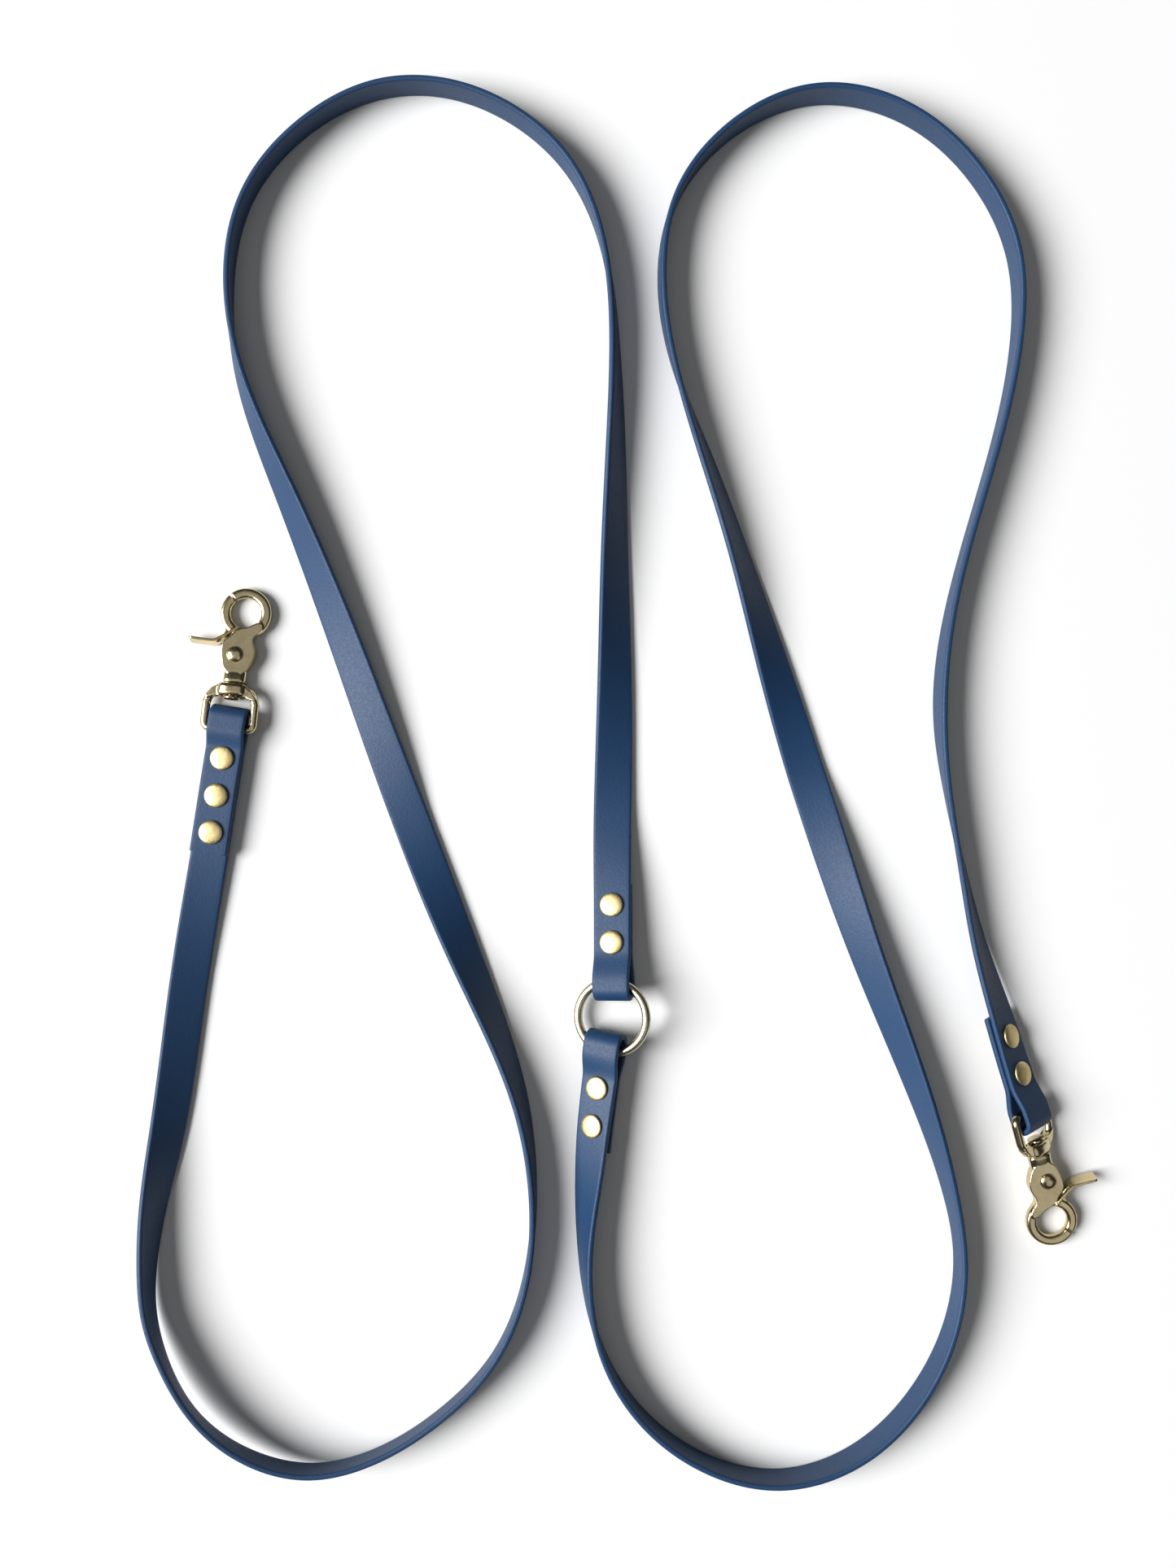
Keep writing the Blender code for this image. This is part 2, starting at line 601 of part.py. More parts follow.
# ---- assembly -------------------------------------------------------------------------------
def ring_frame(route_a):
    bar = bar_frame(route_a, END_A_RING, False).translation
    swing = math.radians(RING_SWING)
    centre = bar + RING_R * Vector((math.sin(swing), -math.cos(swing), 0))
    tilt = math.radians(RING_TILT)
    return frame_from(centre, (math.cos(tilt), 0, math.sin(tilt)), (0, 0, 1))


def make_strap(label, route, ends, origin, materials):
    stations = strap_stations(route, *ends)
    place = Matrix.Translation(origin)
    return add_object(f"strap_{label}", strap_mesh(stations, origin), place,
                      materials["strap_navy"])


def main():
    clear_scene()
    materials = make_materials()
    route_a, route_b = Route(ROUTE_A), Route(ROUTE_B)
    ring = ring_frame(route_a)
    strap_a = make_strap("a", route_a, (END_A_SNAP, END_A_RING), Vector(), materials)
    strap_b = make_strap("b", route_b, (END_B_RING, END_B_SNAP), ring.translation, materials)
    make_rivets("a_snap", rivet_frames(route_a, END_A_SNAP, True), strap_a, materials)
    make_rivets("a_ring", rivet_frames(route_a, END_A_RING, False), strap_a, materials)
    make_rivets("b_ring", rivet_frames(route_b, END_B_RING, True), strap_b, materials)
    make_rivets("b_snap", rivet_frames(route_b, END_B_SNAP, False), strap_b, materials)
    make_ring(ring, materials)
    make_snap("a", bar_frame(route_a, END_A_SNAP, True), LIE_A, materials)
    make_snap("b", bar_frame(route_b, END_B_SNAP, False), LIE_B, materials)


main()
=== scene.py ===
"""Training leash: the visible model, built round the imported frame.

Shapes are drawn in millimetres and written into each mesh in metres, in the frame's own axes.
"""
import math

import bmesh
import bpy
import numpy as np
from mathutils import Matrix, Vector


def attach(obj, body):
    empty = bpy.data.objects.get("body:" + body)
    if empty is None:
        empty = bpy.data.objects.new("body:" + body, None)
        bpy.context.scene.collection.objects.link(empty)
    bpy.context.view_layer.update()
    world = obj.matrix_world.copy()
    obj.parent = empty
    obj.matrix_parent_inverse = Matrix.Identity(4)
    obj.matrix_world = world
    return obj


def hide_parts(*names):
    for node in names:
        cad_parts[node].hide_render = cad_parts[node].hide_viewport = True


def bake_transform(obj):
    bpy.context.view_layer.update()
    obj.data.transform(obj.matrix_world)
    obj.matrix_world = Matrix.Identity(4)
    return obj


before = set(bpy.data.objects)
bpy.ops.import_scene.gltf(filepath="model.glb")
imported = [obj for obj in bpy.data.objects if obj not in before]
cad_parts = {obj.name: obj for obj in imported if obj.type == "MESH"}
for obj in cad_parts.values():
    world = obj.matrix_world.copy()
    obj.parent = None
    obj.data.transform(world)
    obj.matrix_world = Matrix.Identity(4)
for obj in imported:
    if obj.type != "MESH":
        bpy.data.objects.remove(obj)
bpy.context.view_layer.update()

MM = 0.001

# ---- dimensions, in millimetres unless the comment says otherwise ------------------------
GAP = 0.3                 # running gap between pieces that touch
STRAP_W = 16.0            # strap width
STRAP_T = 2.5             # strap thickness
STRAP_EDGE_R = 1.0        # radius of the strap's round edges
EDGE_STEPS = 7            # segments round a quarter circle of an edge
FACE_STEPS = 10           # segments across a flat face
END_BEVEL = 0.35          # bevel round the strap's cut ends
STRAP_SHARP = 60.0        # degrees; a steeper edge of the strap is shaded sharp
PLY_PITCH = STRAP_T + GAP # distance between the middles of two riveted plies
FLAT_EASE = 0.06          # softens the resting height where the strip lies flat
STATION_STEP = 2.5        # spacing of the cross-sections along a single ply
PLY_STEP = 0.9            # spacing of the cross-sections along a riveted end
FOLD_SEGMENTS = 22        # segments round a fold
JOIN_AHEAD = 3.5          # the plies close up this far before the first rivet
TRAVEL_STEP = 1.0         # a direction of travel is read this far ahead and behind
CORD_STEP = 4.0           # spacing of the points in a cord's path

CAP_R = 5.15              # rivet cap radius
CAP_H = 1.5               # rivet cap height
CAP_LIP = 0.28            # height of the dome's lower edge over the cap's underside
# the cap's rolled edge: share of its radius, height over its underside
CAP_ROLL = ((0.98, CAP_LIP), (0.975, 0.12), (0.955, 0.02), (0.93, 0.0))
CAP_STEPS = 16            # segments from the crown to the edge
DOME_POWER = 0.66         # under 1 makes the dome fuller than a round one
CAP_FACE = PLY_PITCH / 2 + STRAP_T / 2 + GAP  # from the middle of both plies to an underside
RIVET_POST_R = 1.15
RIVET_HOLE_R = 2.25
SOCKET_IN_R = 1.45
SOCKET_OUT_R = 1.9
POST_SHORT = 0.4          # the post ends this far short of the base's underside
POST_BEVEL = 0.2
SOCKET_SINK = 0.1         # the socket's floor is sunk this far into the base
TURNED_SIDES = 40         # sides of rivets, pivots and swivel posts

RING_R = 15.05            # ring centre-line radius
RING_WIRE_R = 1.85
RING_STEPS, RING_SIDES = 128, 28
RING_TILT = 18.0          # degrees, +X side up
RING_SWING = -2.4         # degrees that the ring hangs off straight below strap A

BAR_R = 1.75              # swivel eye wire, half its thickness
EYE_WIRE_HALF_W = 1.8     # and half its width
SHOULDER_HALF_T = 2.1     # webs between the eye's legs and its boss
EYE_HALF_W = 10.5         # swivel eye leg centre lines
EYE_CORNER_R = 2.6
BOSS_X0, BOSS_X1 = 13.9, 19.4
POST_R = 2.2
POST_HOLE_R = 2.55
BUTTON_R = 3.7            # peened end of the swivel post
POST_X1 = 21.5            # the post's other end, inside the hook's neck

HOOK_HALF_T = 2.6         # hook plates, measured from the mid-plane
SLOT_HALF_T = 1.6         # slot between the plates, which the gate turns in
LEVER_HALF_T = 1.25
ROOT_HALF_T = 1.9         # gate where its jaw, its arm and its thumb blade meet
PIVOT = (31.7, 0.0)       # gate pivot, in the snap's own plane
PIVOT_R = 1.3
PIVOT_HOLE_R = 1.6
PIVOT_HEAD_R = 3.4
PIVOT_HEAD_LIP, PIVOT_HEAD_RISE = 0.15, 1.35
PIVOT_HEAD_STEPS = 12
HOOK_EYE = (49.7, -2.4)   # centre of the hook's round mouth
HOOK_EYE_R = 8.65         # mouth centre-line radius
JAW_HALF_W, JAW_HALF_T = 2.2, 2.2
JAW_START_DEG = -193      # round the mouth: where the fixed jaw leaves the plates
GATE_GAP_DEG = (43.0, 48.0)  # where the fixed jaw ends and where the gate's jaw starts
GATE_STOP_DEG = 160       # where the gate's jaw goes into its root
TRIGGER_HALF_T = 0.55     # thumb blade
TRIGGER_HALF_D = 3.0
TRIGGER_LEAN = 0.22       # sideways lean per unit of depth
TRIGGER_TIP = (0.94, 0.82)  # shares of the blade's depth at its last two sections
HUB_R = 3.4
HUB_Z, HUB_HALF_T = -0.82, 0.43
SPRING_R = 2.35
SPRING_WIRE_R = 0.25
SPRING_Z = (0.0, 1.0)     # the coil climbs from the first height to the second
SPRING_ARC_DEG = (28.4, 548.5)
SPRING_LEVER_LEG = (3.7, -1.9)   # where the legs end, measured from the pivot
SPRING_HOOK_LEG = (-1.9, -3.2)
SPRING_STEPS, SPRING_SIDES = 60, 12

HOLE_SIDES = 32
HOLE_HALF_T = 5.0         # half the length of the cutter for a pivot's hole
CUT_PAST = 2              # the cutter for a post's hole goes this far past the boss
CAST_VOXEL, GATE_VOXEL = 0.2, 0.18  # fineness of the cast meshes

CENTRE = (-0.26, 0.21)    # moves the routes so that the origin is under the middle of it all

# ---- strap routes: x, y in mm, roll in degrees, lift above the resting height in mm -------
# The roll turns the strip about its own length; at 90 it stands on its edge.
ROUTE_A = [
    (-163.6, 32.2, -4, 1.3), (-169.7, -5.5, -3, 1.5), (-174.3, -34.0, 2, 1.4),
    (-182.0, -82.5, 20, 0), (-191.5, -151.0, 42, 0), (-196.5, -179.5, 63, 0),
    (-198.8, -205.3, 80, 0.7), (-197.4, -225.8, 90, 2.0), (-192.0, -242.2, 98, 3.6),
    (-177.1, -266.3, 103, 5.5), (-153.9, -283.4, 98, 5.0), (-128.5, -289.8, 95, 2.8),
    (-103.4, -284.6, 94, 0.9), (-75.0, -267.5, 92, 0), (-53.0, -244.5, 90, 0),
    (-39.5, -212.5, 88, 0), (-36.0, -176.5, 92, 0), (-41.5, -135.0, 106, 0),
    (-62.0, -80.5, 137, 0), (-90.5, -10.0, 182, 0), (-114.5, 56.0, 207, 0),
    (-141.5, 124.5, 233, 0), (-161.0, 177.5, 255, 0), (-164.5, 206.0, 265, 0),
    (-157.0, 247.0, 268, 0), (-133.0, 276.5, 268, 0), (-99.5, 293.0, 270, 0),
    (-75.0, 293.5, 270, 0), (-48.0, 284.0, 272, 0), (-21.0, 260.5, 273, 0),
    (-6.0, 225.5, 268, 0), (-1.5, 186.0, 260, 0), (-1.0, 145.5, 245, 0),
    (-1.5, 98.5, 228, 0), (-1.5, 38.5, 205, 0), (-2.0, 4.0, 189, 0.3),
    (-2.5, -23.5, 176, 1.6), (-2.5, -42.5, 168, 3.0), (-2.5, -60.0, 164, 4.7),
    (-2.5, -91.8, 162, 8.3),
]
ROUTE_B = [
    (-5.3, -104.75, -21, 6.2), (-8.5, -130.0, -29, 4.3), (-10.5, -146.0, -35, 3.2),
    (-12.0, -162.0, -44, 2.0), (-13.5, -180.5, -59.5, 0.7), (-14.0, -199.0, -73, 0),
    (-13.0, -214.5, -80, 0), (-6.0, -243.0, -87, 0), (9.0, -267.0, -90, 0),
    (33.5, -286.0, -91, 0), (67.0, -294.5, -92, 0), (101.0, -284.0, -95, 0),
    (126.0, -260.0, -96, 0), (141.5, -227.0, -93, 0), (144.5, -202.0, -92, 0),
    (140.5, -174.5, -98, 0), (127.5, -132.0, -116, 0), (105.5, -73.5, -139, 0),
    (84.5, -10.0, -172, 0), (66.0, 48.5, -209, 0), (50.5, 98.5, -237, 0),
    (36.5, 139.0, -250, 0), (24.0, 176.0, -266, 0), (18.5, 210.0, -273, 0),
    (25.0, 248.0, -272, 0), (44.5, 273.0, -269, 0), (83.0, 290.5, -266, 0),
    (123.5, 281.5, -268, 0), (151.5, 256.5, -269, 0), (167.0, 224.0, -269, 0),
    (168.5, 189.5, -270.5, 0), (154.0, 123.5, -272.5, 0), (140.0, 70.5, -270, 0),
    (136.0, 28.0, -267.5, 0), (139.0, -3.0, -277, 0), (145.0, -35.5, -285.5, 0),
    (152.3, -68.5, -299, 0.8), (160.5, -96.0, -312, 2.8), (168.5, -122.0, -320, 4.3),
    (176.0, -146.0, -321, 5.6),
]

# A folded end: which side of the main ply the tail lies on, how much of the fold's bulge the
# main ply takes, the fold's mid radius, and distances from the fold's outer end.
END_A_SNAP = {"side": 1, "main_share": 0.25, "fold_r": 3.6, "bar": 9.7,
              "rivets": (22.3, 38.3, 54.0), "tail": 63.0}
END_A_RING = {"side": 1, "main_share": 0.5, "fold_r": 4.2, "bar": 8.1,
              "rivets": (24.3, 40.0), "tail": 48.5}
END_B_RING = {"side": -1, "main_share": 0.5, "fold_r": 4.5, "bar": 8.8,
              "rivets": (24.2, 40.4), "tail": 51.0}
END_B_SNAP = {"side": -1, "main_share": 0.5, "fold_r": 3.8, "bar": 8.7,
              "rivets": (24.5, 40.8), "tail": 51.0}
# A snap's lie, in degrees: heading clockwise from +Y, slope down to the floor, and how far its
# swivel eye is turned back from the strap's own roll.
LIE_A = (5.6, 3.6, 0.0)
LIE_B = (163.8, 7.4, 0.0)

# ---- view, in millimetres -----------------------------------------------------------------
CAMERA_AT = (-13.06, -0.49, 670.0)
FRAME_HALF_HEIGHT = 335.1  # half the height that the view takes in at the floor
SENSOR = 36.0

# ---- surroundings, in metres ----------------------------------------------------------------
WORLD_LIGHT, WORLD_SEEN = 0.04, 0.86  # radiance as light, and as the pale backdrop that is seen
FLOOR_HALF = 4.0
FLOOR_COLOUR = (0.74, 0.74, 0.74)
SKY_COLOUR = (0.97, 0.985, 1.0)
# each area light: place, width, radiance
LIGHTS = {"key": ((-6.75, -0.5, 5.75), 6.0, 19.0),
          "ceiling": ((0.0, 0.0, 2.4), 2.2, 0.38),
          "card": ((1.02, -1.32, 2.06), 1.5, 0.6)}


def make_camera():
    """A camera above the floor that looks straight down."""
    data = bpy.data.cameras.new("camera")
    data.sensor_width = SENSOR
    data.lens = SENSOR / 2 * CAMERA_AT[2] / FRAME_HALF_HEIGHT
    data.clip_start = 0.01
    data.clip_end = 50.0
    cam = bpy.data.objects.new("camera", data)
    cam.location = Vector(CAMERA_AT) * MM
    bpy.context.scene.collection.objects.link(cam)
    bpy.context.scene.camera = cam


# ---- mesh helpers -------------------------------------------------------------------------
def frame_from(origin, x_axis, z_hint):
    """A right-handed frame with its X along x_axis and its Z as near z_hint as it can be."""
    x = Vector(x_axis).normalized()
    y = Vector(z_hint).cross(x).normalized()
    z = x.cross(y)
    made = Matrix((x, y, z)).transposed().to_4x4()
    made.translation = Vector(origin)
    return made


def loft(rings, closed=False):
    """Skin a list of equal rings of points; an open run gets a cap at each end."""
    bm = bmesh.new()
    loops = [[bm.verts.new(p) for p in ring] for ring in rings]
    count = len(loops[0])
    spans = len(loops) if closed else len(loops) - 1
    for i in range(spans):
        a = loops[i]
        b = loops[(i + 1) % len(loops)]
        for j in range(count):
            k = (j + 1) % count
            bm.faces.new((a[j], a[k], b[k], b[j]))
    if not closed:
        bm.faces.new(loops[0])
        bm.faces.new(list(reversed(loops[-1])))
    return bm


def tube(path, radius, sides, closed=False):
    """A round tube along points in one plane or on a gentle coil."""
    points = [Vector(p) for p in path]
    count = len(points)
    rings = []
    for i, point in enumerate(points):
        before = points[i - 1] if closed or i else point
        after = points[(i + 1) % count] if closed or i < count - 1 else point
        along = (after - before).normalized()
        across = Vector((0, 0, 1)).cross(along).normalized()
        up = along.cross(across)
        rings.append([
            point + radius * (across * math.cos(a) + up * math.sin(a))
            for a in (2 * math.pi * (k + 0.5) / sides for k in range(sides))
        ])
    return loft(rings, closed)


def squircle(half_w, half_h, power, count):
    """(across, up) points of a rounded rectangle: power 2 is an ellipse, more is squarer."""
    points = []
    for k in range(count):
        a = 2 * math.pi * (k + 0.5) / count
        c, d = math.cos(a), math.sin(a)
        points.append((half_w * math.copysign(abs(c) ** (2 / power), c),
                       half_h * math.copysign(abs(d) ** (2 / power), d)))
    return points


def flat_bar(path, half_w, half_h, power=3.0, count=28):
    """A bar of rounded rectangular section along (x, y) points in the XY plane."""
    rings = []
    last = len(path) - 1
    for i, (x, y) in enumerate(path):
        ahead, behind = path[min(i + 1, last)], path[max(i - 1, 0)]
        along = Vector((ahead[0] - behind[0], ahead[1] - behind[1], 0)).normalized()
        across = Vector((-along.y, along.x, 0))
        rings.append([Vector((x, y, 0)) + across * w + Vector((0, 0, h))
                      for w, h in squircle(half_w, half_h, power, count)])
    return loft(rings)


def barrel(stations, power, count=40):
    """A body along X through (x, half width, half height, middle y) sections."""
    return loft([[(x, middle + w, h) for w, h in squircle(half_w, half_h, power, count)]
                 for x, half_w, half_h, middle in stations])


def lathe(profile, segments):
    """Turn (radius, height) points about Z; the first and last lie on the axis."""
    bm = bmesh.new()
    rings = []
    for radius, height in profile:
        if radius == 0:
            rings.append([bm.verts.new((0, 0, height))])
            continue
        rings.append([
            bm.verts.new((radius * math.cos(a), radius * math.sin(a), height))
            for a in (2 * math.pi * k / segments for k in range(segments))
        ])
    for a, b in zip(rings, rings[1:]):
        for k in range(segments):
            n = (k + 1) % segments
            if len(a) == 1:
                bm.faces.new((a[0], b[n], b[k]))
            elif len(b) == 1:
                bm.faces.new((a[k], a[n], b[0]))
            else:
                bm.faces.new((a[k], a[n], b[n], b[k]))
    return bm


def prism(outline, half, bevel=0.0, segments=3):
    """A flat plate: an (x, y) outline extruded from -half to +half, its rims bevelled if asked."""
    bm = loft([[(x, y, z) for x, y in outline] for z in (-half, half)])
    if bevel:
        rims = [e for e in bm.edges if abs(e.verts[0].co.z - e.verts[1].co.z) < 1e-6]
        bmesh.ops.bevel(bm, geom=rims, offset=bevel, segments=segments, profile=0.5,
                        affect="EDGES")
    return bm


def circle(centre, radius, count, start=0.0, stop=360.0, endpoint=False):
    """Points at equal angles from start to stop, in degrees, round a centre."""
    steps = count - 1 if endpoint else count
    angles = (math.radians(start + (stop - start) * k / steps) for k in range(count))
    return [(centre[0] + radius * math.cos(a), centre[1] + radius * math.sin(a))
            for a in angles]


def cylinder_x(x0, x1, radius, sides):
    """A cylinder along X from x0 to x1."""
    ring = circle((0, 0), radius, sides)
    return loft([[(x, y, z) for y, z in ring] for x in (x0, x1)])


def rounded(points, steps=6, closed=True):
    """A smooth curve (Catmull-Rom) through the points, closed or open."""
    pts = [Vector(p).to_3d() if len(p) == 2 else Vector(p) for p in points]
    count = len(pts)
    out = []
    spans = count if closed else count - 1
    for i in range(spans):
        p0 = pts[(i - 1) % count] if closed or i else pts[0] * 2 - pts[1]
        p1, p2 = pts[i], pts[(i + 1) % count]
        p3 = (pts[(i + 2) % count] if closed or i + 2 < count
              else pts[-1] * 2 - pts[-2])
        for k in range(steps):
            t = k / steps
            out.append(0.5 * ((2 * p1) + (p2 - p0) * t
                              + (2 * p0 - 5 * p1 + 4 * p2 - p3) * t * t
                              + (3 * p1 - p0 - 3 * p2 + p3) * t ** 3))
    if not closed:
        out.append(pts[-1])
    return out


def flat_outline(points, steps):
    """The smooth closed curve through the points, as (x, y) pairs."""
    return [(p.x, p.y) for p in rounded(points, steps)]


def link_mesh(name, bm, place, sharp=40.0):
    """A bmesh drawn in mm in a frame given in mm becomes an object in world metres."""
    bmesh.ops.recalc_face_normals(bm, faces=bm.faces)
    bmesh.ops.transform(bm, matrix=Matrix.Scale(MM, 4) @ place, verts=bm.verts)
    mesh = bpy.data.meshes.new(name)
    bm.to_mesh(mesh)
    bm.free()
    mesh.shade_smooth()
    if sharp:
        mesh.set_sharp_from_angle(angle=math.radians(sharp))
    obj = bpy.data.objects.new(name, mesh)
    bpy.context.scene.collection.objects.link(obj)
    return obj


def joined(pieces, name):
    """One bmesh of several, each with its faces pointing out; the pieces are used up."""
    whole = bmesh.new()
    for bm in pieces:
        bmesh.ops.recalc_face_normals(bm, faces=bm.faces)
        mesh = bpy.data.meshes.new(name)
        bm.to_mesh(mesh)
        bm.free()
        whole.from_mesh(mesh)
        bpy.data.meshes.remove(mesh)
    return whole


def evaluated_copy(obj, name):
    """The object's mesh with its modifiers applied."""
    graph = bpy.context.evaluated_depsgraph_get()
    mesh = bpy.data.meshes.new_from_object(obj.evaluated_get(graph))
    mesh.name = name
    return mesh


def cast(name, solids, cuts, place, voxel, relax=3):
    """Melt solids together, cut holes, then round every edge the way a casting's are."""
    scene = bpy.context.scene
    made = []

    def raw(part_name, pieces):
        whole = joined(pieces, part_name)
        mesh = bpy.data.meshes.new(part_name)
        whole.to_mesh(mesh)
        whole.free()
        obj = bpy.data.objects.new(part_name, mesh)
        scene.collection.objects.link(obj)
        made.append(obj)
        return obj

    def melt(obj):
        remesh = obj.modifiers.new("remesh", "REMESH")
        remesh.mode = "VOXEL"
        remesh.voxel_size = voxel

    body = raw(name + "_raw", solids)
    melt(body)
    for i, bm in enumerate(cuts):
        mod = body.modifiers.new(f"cut_{i}", "BOOLEAN")
        mod.operation = "DIFFERENCE"
        mod.object = raw(f"{name}_{i}", [bm])
        mod.solver = "EXACT"
    melt(body)
    even = body.modifiers.new("even", "SMOOTH")
    even.factor = 0.5
    even.iterations = relax
    mesh = evaluated_copy(body, name)
    for obj in made:
        bpy.data.objects.remove(obj, do_unlink=True)
    mesh.transform(Matrix.Scale(MM, 4) @ place)
    mesh.shade_smooth()
    obj = bpy.data.objects.new(name, mesh)
    scene.collection.objects.link(obj)
    return obj


def dress(obj, body, nodes, material):
    """Ride on a body, if one is named, stand for CAD nodes and take a material."""
    if body:
        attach(obj, body)
    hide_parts(*nodes)
    obj.data.materials.clear()
    obj.data.materials.append(material)
    return obj


# ---- the strap's route --------------------------------------------------------------------
class Route:
    """A smooth curve through the route's points, with the strip's roll along it."""

    def __init__(self, points):
        self.values = np.array(points, dtype=float)
        self.values[:, :2] += CENTRE
        steps = np.hypot(*np.diff(self.values[:, :2], axis=0).T)
        self.knots = np.concatenate([[0.0], np.cumsum(steps)])
        self.bend = self._second_derivatives()
        self.length = float(self.knots[-1])

    def _second_derivatives(self):
        """Of the natural cubic spline through the values, at its knots."""
        gaps = np.diff(self.knots)
        size = len(self.knots)
        matrix = np.eye(size)
        right = np.zeros((size, self.values.shape[1]))
        slopes = np.diff(self.values, axis=0) / gaps[:, None]
        for i in range(1, size - 1):
            matrix[i, i - 1:i + 2] = gaps[i - 1], 2 * (gaps[i - 1] + gaps[i]), gaps[i]
            right[i] = 6 * (slopes[i] - slopes[i - 1])
        return np.linalg.solve(matrix, right)

    def at(self, s):
        """The strip's middle at distance s, at its resting height plus its lift, and its roll."""
        x, y, roll, lift = self._spline(s)
        turn = math.radians(roll)
        edge = math.hypot(math.sin(turn), FLAT_EASE)
        height = STRAP_W / 2 * edge + STRAP_T / 2 * abs(math.cos(turn)) + max(lift, 0.0)
        return Vector((x, y, height)), roll

    def _spline(self, s):
        """x, y, roll and lift at distance s; past either end they stay as they are there."""
        s = min(max(s, 0.0), self.length)
        i = min(int(np.searchsorted(self.knots, s, side="right")) - 1, len(self.knots) - 2)
        gap = self.knots[i + 1] - self.knots[i]
        b = (s - self.knots[i]) / gap
        a = 1 - b
        curve = ((a ** 3 - a) * self.bend[i] + (b ** 3 - b) * self.bend[i + 1]) * gap ** 2 / 6
        return a * self.values[i] + b * self.values[i + 1] + curve

    def frame(self, s):
        """Point, direction of travel, width direction and face normal at distance s."""
        here, roll = self.at(s)
        along = (self.at(s + TRAVEL_STEP)[0] - self.at(s - TRAVEL_STEP)[0]).normalized()
        level = Vector((along.y, -along.x, 0)).normalized()
        turn = math.radians(roll)
        width = level * math.cos(turn) + Vector((0, 0, math.sin(turn)))
        width = (width - along * width.dot(along)).normalized()
        return here, along, width, width.cross(along)


def smooth(t):
    """Ease from 0 to 1, level at both ends."""
    t = min(max(t, 0.0), 1.0)
    return t * t * (3 - 2 * t)


def ply_offsets(end, u):
    """Offsets of the main ply and of the tail along the face normal, u mm from the fold."""
    centre = STRAP_T / 2 + end["fold_r"]
    join = end["rivets"][0] - JOIN_AHEAD
    parted = max(centre, end["bar"])
    spread = (2 * end["fold_r"] - PLY_PITCH) * (1 - smooth((u - parted) / (join - parted)))
    main = -end["side"] * end["main_share"] * spread
    tail = end["side"] * (PLY_PITCH + (1 - end["main_share"]) * spread)
    return main, tail


def end_path(end):
    """(u, v) points from the tail's cut end, round the fold and out along the main ply."""
    centre = STRAP_T / 2 + end["fold_r"]
    steps = math.ceil((end["tail"] - centre) / PLY_STEP)
    run = [centre + (end["tail"] - centre) * (1 - k / steps) for k in range(steps + 1)]
    path = [(u, ply_offsets(end, u)[1]) for u in run]
    middle = sum(ply_offsets(end, centre)) / 2
    for k in range(1, FOLD_SEGMENTS):
        a = math.pi * k / FOLD_SEGMENTS
        path.append((centre - end["fold_r"] * math.sin(a),
                     middle + end["side"] * end["fold_r"] * math.cos(a)))
    path += [(u, ply_offsets(end, u)[0]) for u in reversed(run)]
    return path


def strap_stations(route, first, last):
    """Centre points and width directions all along the strip, tail end to tail end."""
    stations = []

    def place(s, v):
        point, _, width, normal = route.frame(s)
        stations.append((point + normal * v, width))

    for u, v in end_path(first):
        place(u, v)
    start, stop = first["tail"], route.length - last["tail"]
    count = round((stop - start) / STATION_STEP)
    for k in range(1, count):
        place(start + (stop - start) * k / count, 0.0)
    for u, v in reversed(end_path(last)):
        place(route.length - u, v)
    return stations


def strap_section():
    """(across, out) points round the strip: flat faces joined by round edges."""
    corner = STRAP_EDGE_R
    half_w, half_t = STRAP_W / 2 - corner, STRAP_T / 2 - corner
    points = [(half_w * (1 - 2 * k / FACE_STEPS), STRAP_T / 2) for k in range(FACE_STEPS + 1)]
    for k in range(1, EDGE_STEPS):
        a = math.pi / 2 * k / EDGE_STEPS
        points.append((-half_w - corner * math.sin(a), half_t + corner * math.cos(a)))
    points.append((-STRAP_W / 2, half_t))
    upper_left = points[FACE_STEPS + 1:]
    points += [(a, -b) for a, b in reversed(upper_left)]
    lower = [(-a, -b) for a, b in points]
    return points + lower


def strap_object(name, stations):
    """The strip, skinned through its section at every station."""
    section = strap_section()
    rings = []
    last = len(stations) - 1
    for i, (point, width) in enumerate(stations):
        before = stations[max(i - 1, 0)][0]
        after = stations[min(i + 1, last)][0]
        along = (after - before).normalized()
        side = (width - along * width.dot(along)).normalized()
        face = side.cross(along).normalized()
        rings.append([point + side * a + face * b for a, b in section])
    bm = loft(rings)
    ends = [e for e in bm.edges if any(len(f.verts) > 4 for f in e.link_faces)]
    bmesh.ops.bevel(bm, geom=ends, offset=END_BEVEL, segments=2, profile=0.5, affect="EDGES")
    return link_mesh(name, bm, Matrix.Identity(4), sharp=STRAP_SHARP)


def drill(obj, frames):
    """Cut a rivet's hole through both plies at each frame."""
    holes = [prism(circle((0, 0), RIVET_HOLE_R, HOLE_SIDES), CAP_FACE) for _ in frames]
    for hole, place in zip(holes, frames):
        bmesh.ops.transform(hole, matrix=place, verts=hole.verts)
    cutter = link_mesh(obj.name + "_holes", joined(holes, "hole"), Matrix.Identity(4), sharp=None)
    mod = obj.modifiers.new("holes", "BOOLEAN")
    mod.operation = "DIFFERENCE"
    mod.object = cutter
    mod.solver = "EXACT"
    mesh = evaluated_copy(obj, obj.name)
    obj.modifiers.clear()
    obj.data = mesh
    bpy.data.objects.remove(cutter, do_unlink=True)
    mesh.set_sharp_from_angle(angle=math.radians(STRAP_SHARP))


def rivet_frames(route, end, from_start):
    """Frames at the rivets: origin midway through both plies, Z out of the visible face."""
    frames = []
    for u in end["rivets"]:
        s = u if from_start else route.length - u
        point, along, _, normal = route.frame(s)
        middle = point + normal * end["side"] * PLY_PITCH / 2
        outward = normal if normal.z > 0 else -normal
        frames.append(frame_from(middle, along, outward))
    return frames


